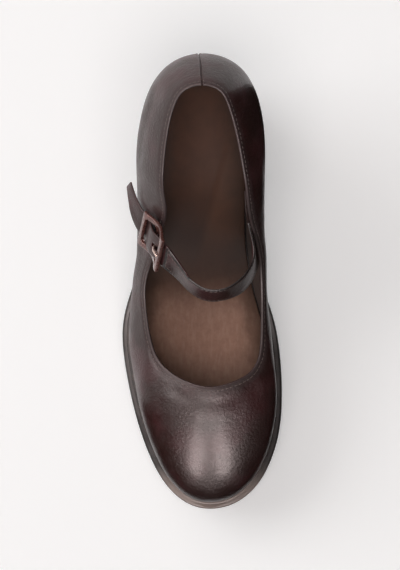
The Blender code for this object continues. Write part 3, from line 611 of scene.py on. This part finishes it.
def burnished_edge(name, colour, light):
    """Leather sole edge: trimmed, inked and burnished with hot wax.

    To the eye: fine lines and a dull shine, near black, and a painted highlight that makes it paler at
    the tip of the toe.
    """
    material, tree, shader, place = new_material(name, IOR=1.5, Coat_Weight=0.15, Coat_Roughness=0.3)
    lines = add(tree, "ShaderNodeVectorMath", {0: place, 1: (0.15, 0.15, 1.0)}, operation="MULTIPLY")
    fibre = add(tree, "ShaderNodeTexNoise", {"Vector": lines, "Scale": 1 / (0.5 * MM), "Detail": 3.0})
    bare = add(tree, "ShaderNodeMapRange", {"Value": fibre, "From Min": 0.35, "From Max": 0.75,
                                            "To Max": 0.5}, interpolation_type="SMOOTHSTEP")
    tone = add(tree, "ShaderNodeMix", {0: bare, 6: solid(colour), 7: solid(linear(light))}, 2,
               data_type="RGBA")
    # painted highlight: the edge turns paler round the tip of the toe
    forward = add(tree, "ShaderNodeSeparateXYZ", {"Vector": place}, "Y")
    toe_painted_highlight = add(tree, "ShaderNodeMapRange", {"Value": forward, "From Min": -112 * MM,
                                              "From Max": -94 * MM, "To Min": 0.85, "To Max": 0.0},
                 interpolation_type="SMOOTHSTEP")
    tone = add(tree, "ShaderNodeMix", {0: toe_painted_highlight, 6: tone, 7: solid(linear("8A7A72"))}, 2,
               data_type="RGBA")
    wax = add(tree, "ShaderNodeTexNoise", {"Vector": place, "Scale": 1 / (5 * MM)})
    wax = add(tree, "ShaderNodeMapRange", {"Value": wax, "From Min": 0.3, "From Max": 0.7,
                                           "To Min": 0.38, "To Max": 0.52},
              interpolation_type="SMOOTHSTEP")
    relief = add(tree, "ShaderNodeBump", {"Height": fibre, "Strength": 0.25, "Distance": 0.10 * MM})
    connect(tree, shader, {"Base Color": tone, "Roughness": wax, "Normal": relief})
    return material


def stacked_leather(colour):
    """Heel stack: leather lifts of about 3 mm, glued, sanded and stained, with a line at each joint."""
    material, tree, shader, place = new_material("stained heel stack", IOR=1.45, Coat_Weight=0.08,
                                                 Coat_Roughness=0.30)
    height = add(tree, "ShaderNodeSeparateXYZ", {"Vector": place}, "Z")
    lift = add(tree, "ShaderNodeMath", {0: height, 1: 3.0 * MM}, operation="PINGPONG")
    joint = add(tree, "ShaderNodeMapRange", {"Value": lift, "From Min": 0.0, "From Max": 0.35 * MM,
                                             "To Min": 1.0, "To Max": 0.0},
                interpolation_type="SMOOTHSTEP")
    lines = add(tree, "ShaderNodeVectorMath", {0: place, 1: (0.12, 0.12, 1.0)}, operation="MULTIPLY")
    fibre = add(tree, "ShaderNodeTexNoise", {"Vector": lines, "Scale": 1 / (0.7 * MM), "Detail": 4.0})
    stain = add(tree, "ShaderNodeMapRange", {"Value": fibre, "From Min": 0.3, "From Max": 0.75},
                interpolation_type="SMOOTHSTEP")
    tone = add(tree, "ShaderNodeMix", {0: stain, 6: solid(colour), 7: solid(linear("3B2A23"))}, 2,
               data_type="RGBA")
    tone = add(tree, "ShaderNodeMix", {0: joint, 6: tone, 7: solid(linear("15100E"))}, 2,
               data_type="RGBA")
    sanded = add(tree, "ShaderNodeMapRange", {"Value": fibre, "From Min": 0.3, "From Max": 0.7,
                                              "To Min": 0.34, "To Max": 0.46},
                 interpolation_type="SMOOTHSTEP")
    relief = add(tree, "ShaderNodeBump", {"Height": fibre, "Strength": 0.2, "Distance": 0.10 * MM})
    relief = add(tree, "ShaderNodeBump", {"Height": joint, "Strength": -0.3, "Distance": 0.10 * MM,
                                          "Normal": relief})
    connect(tree, shader, {"Base Color": tone, "Roughness": sanded, "Normal": relief})
    return material


def moulded_rubber(name, colour):
    """Moulded rubber: matt black-brown, with a fine spark-eroded texture and ribs on its tread."""
    material, tree, shader, place = new_material(name, IOR=1.52)
    slant = add(tree, "ShaderNodeVectorMath", {0: place, 1: (1.0, 1.0, 0.0)}, "Value",
                operation="DOT_PRODUCT")
    rib = add(tree, "ShaderNodeMath", {0: slant, 1: 1.6 * MM}, operation="PINGPONG")
    rib = add(tree, "ShaderNodeMapRange", {"Value": rib, "From Min": 0.4 * MM, "From Max": 0.8 * MM},
              interpolation_type="SMOOTHSTEP")
    normal = add(tree, "ShaderNodeNewGeometry", out="Normal")
    facing = add(tree, "ShaderNodeSeparateXYZ", {"Vector": normal}, "Z")
    under = add(tree, "ShaderNodeMapRange", {"Value": facing, "From Min": -0.95, "From Max": -0.85,
                                             "To Min": 1.0, "To Max": 0.0},
                interpolation_type="SMOOTHSTEP")
    tread = add(tree, "ShaderNodeMath", {0: rib, 1: under}, operation="MULTIPLY")
    dust = add(tree, "ShaderNodeTexNoise", {"Vector": place, "Scale": 1 / (4 * MM), "Detail": 4.0})
    pale = add(tree, "ShaderNodeMapRange", {"Value": dust, "From Min": 0.4, "From Max": 0.8,
                                            "To Max": 0.5}, interpolation_type="SMOOTHSTEP")
    tone = add(tree, "ShaderNodeMix", {0: pale, 6: solid(colour), 7: solid(linear("332C2A"))}, 2,
               data_type="RGBA")
    matt = add(tree, "ShaderNodeMapRange", {"Value": dust, "From Min": 0.3, "From Max": 0.7,
                                            "To Min": 0.5, "To Max": 0.62},
               interpolation_type="SMOOTHSTEP")
    skin = add(tree, "ShaderNodeTexNoise", {"Vector": place, "Scale": 1 / (0.5 * MM)})
    relief = add(tree, "ShaderNodeBump", {"Height": tread, "Strength": 0.6, "Distance": 0.4 * MM})
    relief = add(tree, "ShaderNodeBump", {"Height": skin, "Strength": 0.3, "Distance": 0.06 * MM,
                                          "Normal": relief})
    connect(tree, shader, {"Base Color": tone, "Roughness": matt, "Normal": relief})
    return material


def baked_lacquer(colour):
    """Stamped zinc frame with a baked brown lacquer: glassy coat, a hint of metal underneath."""
    material, tree, shader, place = new_material("baked brown lacquer", IOR=1.5, Metallic=0.35,
                                                 Coat_Weight=0.8, Coat_Roughness=0.08)
    cloud = add(tree, "ShaderNodeTexNoise", {"Vector": place, "Scale": 1 / (3 * MM), "Detail": 3.0})
    thin = add(tree, "ShaderNodeMapRange", {"Value": cloud, "From Min": 0.35, "From Max": 0.7,
                                            "To Max": 0.6}, interpolation_type="SMOOTHSTEP")
    tone = add(tree, "ShaderNodeMix", {0: thin, 6: solid(colour), 7: solid(linear("7A4C43"))}, 2,
               data_type="RGBA")
    haze = add(tree, "ShaderNodeTexNoise", {"Vector": place, "Scale": 1 / (1.2 * MM)})
    haze = add(tree, "ShaderNodeMapRange", {"Value": haze, "From Min": 0.3, "From Max": 0.7,
                                            "To Min": 0.24, "To Max": 0.34},
               interpolation_type="SMOOTHSTEP")
    flow = add(tree, "ShaderNodeTexNoise", {"Vector": place, "Scale": 1 / (0.8 * MM)})
    relief = add(tree, "ShaderNodeBump", {"Height": flow, "Strength": 0.06, "Distance": 0.03 * MM})
    connect(tree, shader, {"Base Color": tone, "Roughness": haze, "Normal": relief})
    return material


def plated_steel(colour):
    """Steel pin, nickel plated with a warm tint and tumbled: bright, with hairline scratches."""
    material, tree, shader, place = new_material("warm nickel plate", Metallic=1.0)
    wipe = add(tree, "ShaderNodeVectorMath", {0: place, 1: (1.0, 0.2, 1.0)}, operation="MULTIPLY")
    hairline = add(tree, "ShaderNodeTexNoise", {"Vector": wipe, "Scale": 1 / (0.4 * MM), "Detail": 3.0})
    tone = add(tree, "ShaderNodeMix", {0: hairline, 6: solid(colour), 7: solid(linear("C0A79C"))}, 2,
               data_type="RGBA")
    tumbled = add(tree, "ShaderNodeMapRange", {"Value": hairline, "From Min": 0.3, "From Max": 0.7,
                                               "To Min": 0.20, "To Max": 0.34},
                  interpolation_type="SMOOTHSTEP")
    relief = add(tree, "ShaderNodeBump", {"Height": hairline, "Strength": 0.1, "Distance": 0.03 * MM})
    connect(tree, shader, {"Base Color": tone, "Roughness": tumbled, "Normal": relief})
    return material


def plain_sweep(colour):
    """Seamless paper sweep: matt, even and pale."""
    material, tree, shader, place = new_material("pale paper sweep", Roughness=0.9, IOR=1.3,
                                                 Emission_Strength=0.31)
    pulp = add(tree, "ShaderNodeTexNoise", {"Vector": place, "Scale": 1 / 0.5})
    tone = add(tree, "ShaderNodeMix", {0: pulp, 6: solid(colour), 7: solid(linear("ECEDEE"))}, 2,
               data_type="RGBA")
    connect(tree, shader, {"Base Color": tone, "Emission Color": tone})
    return material


def flocked_card():
    """Black flocked card, as a photographer sets up to take light away: it reflects next to nothing."""
    material, tree, shader, place = new_material("black flocked card", Roughness=1.0, IOR=1.1)
    flock = add(tree, "ShaderNodeTexNoise", {"Vector": place, "Scale": 1 / (2 * MM)})
    tone = add(tree, "ShaderNodeMix", {0: flock, 6: solid(linear("0F0C0B")), 7: solid(linear("17110F"))},
               2, data_type="RGBA")
    connect(tree, shader, {"Base Color": tone})
    return material


# Stage

def soft_box(name, place, target, width, height, power, colour=(1.0, 1.0, 1.0)):
    bpy.ops.object.light_add(type="AREA", location=place)
    lamp = bpy.context.view_layer.objects.active
    lamp.name = name
    lamp.data.shape = "RECTANGLE"
    lamp.data.size = width
    lamp.data.size_y = height
    lamp.data.energy = power
    lamp.data.color = colour
    lamp.rotation_euler = (Vector(target) - Vector(place)).to_track_quat("-Z", "Y").to_euler()
    return lamp


def black_card(look):
    """A black card bent round the medial side and the toe, low at the toe.

    It darkens what the leather reflects there, and the camera, the paper and the shadows miss it.
    """
    bpy.ops.mesh.primitive_cylinder_add(vertices=64, radius=1.0, depth=1.0, end_fill_type="NOTHING")
    card = bpy.context.view_layer.objects.active
    card.name = "black_card"
    bpy.ops.object.mode_set(mode="EDIT")
    bpy.ops.mesh.select_all(action="SELECT")
    bpy.ops.transform.resize(value=(look.card_side, look.card_front, look.card_height),
                             center_override=(0.0, 0.0, 0.0))
    bpy.ops.transform.translate(value=(0.0, 0.0, look.card_height / 2 + 1 * MM))
    bpy.ops.mesh.select_all(action="DESELECT")
    bpy.ops.object.mode_set(mode="OBJECT")
    for vert in card.data.vertices:
        vert.select = vert.co.y > 112 * MM or vert.co.x < 0.0 and vert.co.y > -60 * MM
        low = min(max((-50 * MM - vert.co.y) / (60 * MM), 0.0), 1.0)
        vert.co.z *= 1.0 - low * (1.0 - look.card_toe_height / look.card_height)
    bpy.ops.object.mode_set(mode="EDIT")
    bpy.ops.mesh.delete(type="VERT")
    bpy.ops.object.mode_set(mode="OBJECT")
    card.data.materials.append(flocked_card())
    card.visible_camera = False
    card.visible_diffuse = False
    card.visible_shadow = False
    return card


class SHOE_OT_stage(Operator):
    """Floor, soft studio lights and the camera above the shoe"""
    bl_idname = "shoe.stage"
    bl_label = "Stage"

    def execute(self, context):
        look = context.scene.shoe_stage
        deselect_all()
        bpy.ops.mesh.primitive_plane_add(size=6.0, location=(0.0, 0.0, -0.1 * MM))
        floor = context.view_layer.objects.active
        floor.name = "floor_sweep"
        bpy.ops.object.transform_apply(location=True, rotation=True, scale=True)
        floor.data.materials.append(plain_sweep(look.floor))

        middle = (0.0, 0.0, 0.04)
        soft_box("window_left", (-2.4, 0.9, 1.5), middle, 2.2, 1.8, 43.0, (1.0, 0.985, 0.975))
        soft_box("window_back", (-0.7, 1.5, 1.5), middle, 1.4, 0.8, 7.0, (1.0, 0.95, 0.93))
        soft_box("ceiling_front", (0.0, -0.46, 1.70), middle, 1.4, 0.9, 12.0, (1.0, 0.92, 0.89))
        # gleams in the wax: these show only in reflections, so the paper stays even
        for name, place, width, power in (("gleam_left", (-0.62, -1.15, 1.26), 0.62, 34.0),
                                          ("gleam_right", (0.50, -1.15, 1.26), 0.56, 32.0),
                                          ("gleam_back", (-0.42, 1.30, 1.25), 1.40, 31.0),
                                          ("gleam_strap", (-1.10, 0.10, 1.40), 0.45, 8.0)):
            gleam = soft_box(name, place, middle, width, 1.0, power, (1.0, 0.87, 0.85))
            gleam.visible_diffuse = False

        black_card(look)

        world = bpy.data.worlds.new("studio")
        context.scene.world = world
        world.use_nodes = True
        world.node_tree.nodes["Background"].inputs["Color"].default_value = solid(linear("F1F0EF"))
        world.node_tree.nodes["Background"].inputs["Strength"].default_value = 0.14
        context.scene.view_settings.view_transform = "Standard"

        bpy.ops.object.camera_add(location=(look.camera_side, -look.camera_toe, look.camera_height))
        camera = context.view_layer.objects.active
        camera.name = "camera"
        back = (camera.location - Vector((0.0, 0.5 * MM, look.camera_aim))).normalized()
        right = Vector((0.0, 1.0, 0.0)).cross(back).normalized()
        camera.rotation_euler = Matrix((right, back.cross(right), back)).transposed().to_euler()
        camera.data.sensor_width = 36.0
        camera.data.lens = 162.0
        camera.data.clip_start = 0.01
        camera.data.clip_end = 20.0
        context.scene.camera = camera
        return {"FINISHED"}


# Upper

def laid_on(surface, fold):
    """A fold's points on the leather, in metres."""
    ways = {"above": Vector((0, 0, -1)), "lateral": Vector((1, 0, 0)), "medial": Vector((-1, 0, 0))}
    way = ways[fold.seen]
    found = []
    for a, b in fold.points:
        seen = Vector((a, b, 0)) if fold.seen == "above" else Vector((0, a, b))
        spot = surface.ray_cast(seen * MM - way * OUTSIDE, way)[0]
        if spot is None:
            raise RuntimeError(f"a fold's point misses the leather: {fold.seen} {a} {b}")
        found.append(spot)
    return found


def distance_to_line(point, line):
    best = 1.0
    for a, b in zip(line, line[1:]):
        run = b - a
        share = min(max((point - a).dot(run) / run.length_squared, 0.0), 1.0)
        best = min(best, (point - a - run * share).length)
    return best


def press_folds(piece, surface, deepest):
    """Sink a soft trough with low ridges beside it along each fold, through both walls."""
    lines = []
    for fold in FOLDS:
        points = [spot for spot, _ in evenly(laid_on(surface, fold), 2 * MM, False)]
        middle = sum(points, Vector()) / len(points)
        reach = max((point - middle).length for point in points) + 4 * fold.width * MM
        lines.append((fold, points, middle, reach))
    for vert in piece.data.vertices:
        spot, normal, _, _ = surface.find_nearest(vert.co)
        move = 0.0
        for fold, points, middle, reach in lines:
            if (spot - middle).length > reach:
                continue
            far = distance_to_line(spot, points) / (fold.width * MM)
            ends = min((spot - points[0]).length, (spot - points[-1]).length) / (2 * fold.width * MM)
            fade = min(0.35 + ends, 1.0)
            move -= fold.depth * deepest * fade * (bell(far) - 0.30 * bell(far - 1.9))
        vert.co += normal * move


def cut_back_seam(piece, surface, look):
    """Cut the mesh along the back and sink the seam's line."""
    across = Vector((1.0, 0.0, -look.seam_lean)).normalized()
    foot = Vector((look.seam_side, 0.1, 0.1))
    make_active(piece)
    for cut in SEAM_CUTS:
        select_faces(piece, lambda face: face.center.y > BACK)
        bpy.ops.object.mode_set(mode="EDIT")
        bpy.ops.mesh.bisect(plane_co=foot + across * cut * MM, plane_no=across, threshold=1e-6)
        bpy.ops.object.mode_set(mode="OBJECT")
    for vert in piece.data.vertices:
        side = abs((vert.co - foot).dot(across)) / MM
        share = next((share for reach, share in SEAM_SECTION if side < reach), 0.0)
        if vert.co.y < BACK or not share:
            continue
        _, normal, _, far = surface.find_nearest(vert.co)
        if far <= WALL:
            vert.co += normal * look.seam_depth * share


def mark_edge(piece, edge_line):
    """Store each point's distance from an edge of the leather, for its material; returns them."""
    line = [place for place, _ in evenly([place for place, _ in edge_line], 1 * MM, True)]
    nearest = KDTree(len(line))
    for index, place in enumerate(line):
        nearest.insert(place, index)
    nearest.balance()
    distances = [nearest.find(vert.co)[2] for vert in piece.data.vertices]
    layer = piece.data.attributes.new("from_edge", "FLOAT", "POINT")
    for value, far in zip(layer.data, distances):
        value.value = far
    return distances


class SHOE_OT_upper(Operator):
    """Leather upper with its lining, folded top edge, back seam and soft folds"""
    bl_idname = "shoe.upper"
    bl_label = "Upper"

    def execute(self, context):
        look = context.scene.shoe_upper
        piece = merged_copy("upper", "leather_upper")
        shape = bmesh.new()
        shape.from_mesh(piece.data)
        outer, inner = face_groups(shape, radians(50))[:2]
        edge_line = border(outer, mean_height)
        PATHS["top edge"] = edge_line
        for face in inner:
            face.material_index = 1
        shape.to_mesh(piece.data)
        shape.free()
        soften(piece, 2, radians(50), 0.55)
        surface = surface_of(piece)
        press_folds(piece, surface, look.crease_depth)
        surface = surface_of(piece)
        cut_back_seam(piece, surface, look)

        for vert, far in zip(piece.data.vertices, mark_edge(piece, edge_line)):
            if far > 6 * MM:
                continue
            spot, normal, _, _ = surface.find_nearest(vert.co)
            groove = look.groove * bell((far - look.fold_inset) / (0.8 * MM))
            bead = look.bead * bell((far - 1.0 * MM) / (0.7 * MM))
            if (spot - vert.co).length < 0.4 * MM:
                vert.co += normal * (bead - groove)
        calf = box_calf("polished box calf", look.leather, look.leather_red, "folded")
        piece.data.materials.append(calf)
        piece.data.materials.append(lining_leather(look.lining))
        finish_piece(piece, "upper")
        return {"FINISHED"}


class SHOE_OT_upper_stitching(Operator):
    """Stitches along the top edge and the bar of stitches over the back seam"""
    bl_idname = "shoe.upper_stitching"
    bl_label = "Upper stitching"

    def execute(self, context):
        look = context.scene.shoe_upper
        upper = bpy.data.objects["leather_upper"]
        surface = surface_of(upper)
        path = [surface.find_nearest(place + way * look.fold_inset)[0]
                for place, way in PATHS["top edge"]]
        covers = [surface_of(bpy.data.objects["leather_strap"]),
                  surface_of(NODES["buckle_tab"])]
        row = sew("topline_stitching", path, surface, context.scene.shoe_stitch, keep_off=covers)
        row.data.materials.append(waxed_thread("waxed thread", look.thread))
        finish_piece(row)

        back = max(path, key=lambda point: point.y)
        bars = []
        for step in range(3):
            low = back.z - 1.3 * step * MM
            middle = Vector((look.seam_side + look.seam_lean * (low - 0.1), back.y, low))
            start = middle + Vector((-1.5 * MM, 0.0, -0.6 * MM))
            end = middle + Vector((1.5 * MM, 0.0, -1.2 * MM))
            bars.append([surface.find_nearest(start)[0], surface.find_nearest(end)[0]])
        bar = joined([sew(f"back_bar_{index}", ends, surface, context.scene.shoe_stitch, closed=False)
                      for index, ends in enumerate(bars)], "back_seam_bar")
        bar.data.materials.append(waxed_thread("waxed thread of the bar", look.thread))
        finish_piece(bar)
        return {"FINISHED"}


# Sole

class SHOE_OT_sole(Operator):
    """Insole, welt, midsole, outsole and heel"""
    bl_idname = "shoe.sole"
    bl_label = "Sole and heel"

    def execute(self, context):
        look = context.scene.shoe_sole
        sock = merged_copy("insole", "suede_insole")
        line = top_border(sock, radians(50))
        soften(sock, 2, radians(50), 0.6)
        mark_edge(sock, line)
        sock.data.materials.append(suede_sock(look.insole, look.insole_heel_shaded))
        finish_piece(sock, "insole")

        for node, name, material, slot in (
                ("welt", "leather_welt", burnished_edge("burnished welt", look.edge, "5C4A43"),
                 "sole_edge"),
                ("midsole", "leather_midsole", burnished_edge("burnished sole edge", look.edge, "2E2420"),
                 "sole_edge"),
                ("outsole", "rubber_outsole", moulded_rubber("moulded rubber", look.rubber),
                 "outsole_rubber")):
            piece = merged_copy(node, name)
            soften(piece, 2, radians(32), 0.75)
            piece.data.materials.append(material)
            finish_piece(piece, node)
        for node, name, material, slot in (
                ("heel_block", "stacked_heel", stacked_leather(look.stack), "sole_edge"),
                ("heel_top_piece", "rubber_top_piece", moulded_rubber("top piece rubber", look.rubber),
                 "outsole_rubber")):
            piece = merged_copy(node, name)
            break_edges(piece, 0.4 * MM, radians(32))
            piece.data.materials.append(material)
            finish_piece(piece, node)
        return {"FINISHED"}


# Strap and buckle

class SHOE_OT_strap(Operator):
    """Instep strap with its painted edges and the stitches round it"""
    bl_idname = "shoe.strap"
    bl_label = "Strap"

    def execute(self, context):
        look = context.scene.shoe_upper
        piece = merged_copy("strap", "leather_strap")
        line = top_border(piece, radians(15))
        soften(piece, 2, radians(35), 0.5)
        mark_edge(piece, line)
        piece.data.materials.append(box_calf("strap calf", look.leather, look.leather_red, "painted"))
        finish_piece(piece, "strap")

        surface = surface_of(piece)
        path = [surface.find_nearest(place + way * 1.0 * MM)[0] for place, way in line]
        row = sew("strap_stitching", path, surface, context.scene.shoe_stitch)
        row.data.materials.append(waxed_thread("waxed thread of the strap", look.thread))
        finish_piece(row)
        return {"FINISHED"}


class SHOE_OT_buckle(Operator):
    """Lacquered frame, plated prong and leather tab"""
    bl_idname = "shoe.buckle"
    bl_label = "Buckle"

    def execute(self, context):
        look = context.scene.shoe_buckle
        upper = context.scene.shoe_upper
        for node, name, material, slot, sharp in (
                ("buckle_frame", "lacquered_buckle", baked_lacquer(look.frame), "buckle_cover", 40),
                ("buckle_prong", "steel_prong", plated_steel(look.prong), "prong_metal", 50),
                ("buckle_tab", "leather_tab",
                 box_calf("tab calf", upper.leather, upper.leather_red), "upper_leather", 50)):
            piece = merged_copy(node, name)
            soften(piece, 2, radians(sharp), 0.6)
            piece.data.materials.append(material)
            finish_piece(piece, node)
        return {"FINISHED"}


class SHOE_PT_panel(Panel):
    """The shoe's pieces, in the order in which they are made"""
    bl_idname = "SHOE_PT_panel"
    bl_label = "Mary Jane shoe"
    bl_space_type = "VIEW_3D"
    bl_region_type = "UI"
    bl_category = "Shoe"

    def draw(self, context):
        for name, group in GROUPS.items():
            box = self.layout.box()
            for key in group.__annotations__:
                box.prop(getattr(context.scene, name), key)
        for operator in OPERATORS:
            self.layout.operator(operator.bl_idname)


OPERATORS = [SHOE_OT_stage, SHOE_OT_upper, SHOE_OT_sole, SHOE_OT_strap, SHOE_OT_buckle,
             SHOE_OT_upper_stitching]


def register():
    for name, group in GROUPS.items():
        bpy.utils.register_class(group)
        setattr(bpy.types.Scene, name, PointerProperty(type=group))
    for kind in [*OPERATORS, SHOE_PT_panel]:
        bpy.utils.register_class(kind)


def unregister():
    for kind in [SHOE_PT_panel, *reversed(OPERATORS)]:
        bpy.utils.unregister_class(kind)
    for name, group in GROUPS.items():
        delattr(bpy.types.Scene, name)
        bpy.utils.unregister_class(group)


def main():
    register()
    for operator in (bpy.ops.shoe.stage, bpy.ops.shoe.upper, bpy.ops.shoe.sole, bpy.ops.shoe.strap,
                     bpy.ops.shoe.buckle, bpy.ops.shoe.upper_stitching):
        operator()


if __name__ == "__main__":
    main()
